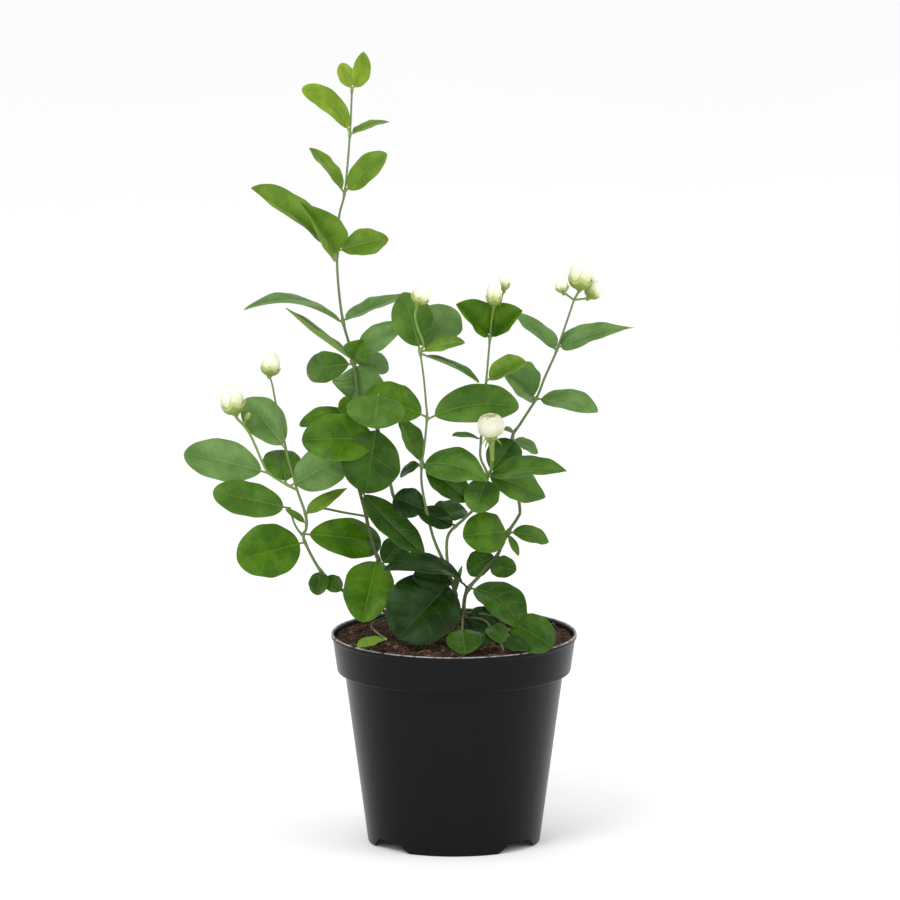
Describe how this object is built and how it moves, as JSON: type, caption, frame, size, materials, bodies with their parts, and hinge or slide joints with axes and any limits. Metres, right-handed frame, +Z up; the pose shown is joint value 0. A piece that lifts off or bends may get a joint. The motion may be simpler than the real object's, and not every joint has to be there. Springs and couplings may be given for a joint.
{
  "type": "potted jasmine",
  "caption": "Young jasmine in a round nursery pot: leafy shoots with white buds and one open bloom stand in soil, and the pot rests on its notched foot.",
  "frame": {"origin": "on the surface the pot stands on, under the middle of the whole plant and pot seen from above", "axes": "+Z up, along the plant's height, -Y towards the viewer, +X to the viewer's right"},
  "size_m": [0.2752, 0.15, 0.485],
  "materials": {
    "black_plastic": "satin",
    "coco_soil": "matte",
    "leader_leaf": "satin",
    "middle_leaf": "satin",
    "fork_leaf": "satin",
    "right_leaf": "satin",
    "left_leaf": "satin",
    "petal": "matte"
  },
  "bodies": {
    "root": {"pot": "black_plastic", "soil": "coco_soil", "shoot_leader": "leader_leaf", "shoot_middle": "middle_leaf", "shoot_fork": "fork_leaf", "shoot_right": "right_leaf", "shoot_left": "left_leaf", "bloom": "petal", "bud_left_large": "petal", "bud_left_pointed": "petal", "bud_centre": "petal", "bud_upper_front": "petal", "bud_upper_back": "petal", "bud_right_large": "petal", "bud_right_small": "petal", "bud_right_low": "petal"}
  },
  "joints": []
}
